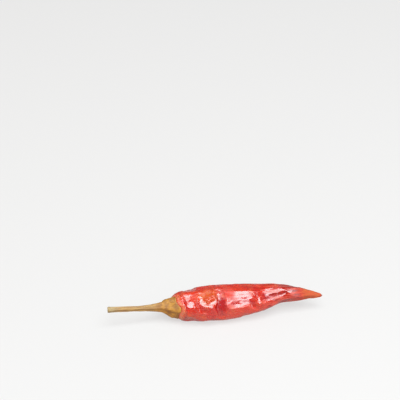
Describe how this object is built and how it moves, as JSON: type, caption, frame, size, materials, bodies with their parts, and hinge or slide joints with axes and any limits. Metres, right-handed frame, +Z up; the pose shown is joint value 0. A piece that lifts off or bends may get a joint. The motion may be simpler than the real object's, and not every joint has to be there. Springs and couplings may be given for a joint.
{
  "type": "dried chilli pepper",
  "caption": "Whole dried red chilli pepper with a wrinkled, tapering pod and its straw-coloured stalk and cap, lying on its side.",
  "frame": {"origin": "under the middle of the pepper's box, on the surface that it lies on", "axes": "+X from the cut end of the stem to the tip of the pod, +Z up, so +Y is the side away from the viewer"},
  "size_m": [0.09, 0.0164, 0.0137],
  "materials": {
    "skin": "glossy dried skin, bright red with an orange-brown tip",
    "stalk": "matt dry plant fibre, straw to golden brown"
  },
  "bodies": {
    "root": {"pod": "skin", "stalk": "stalk"}
  },
  "joints": []
}
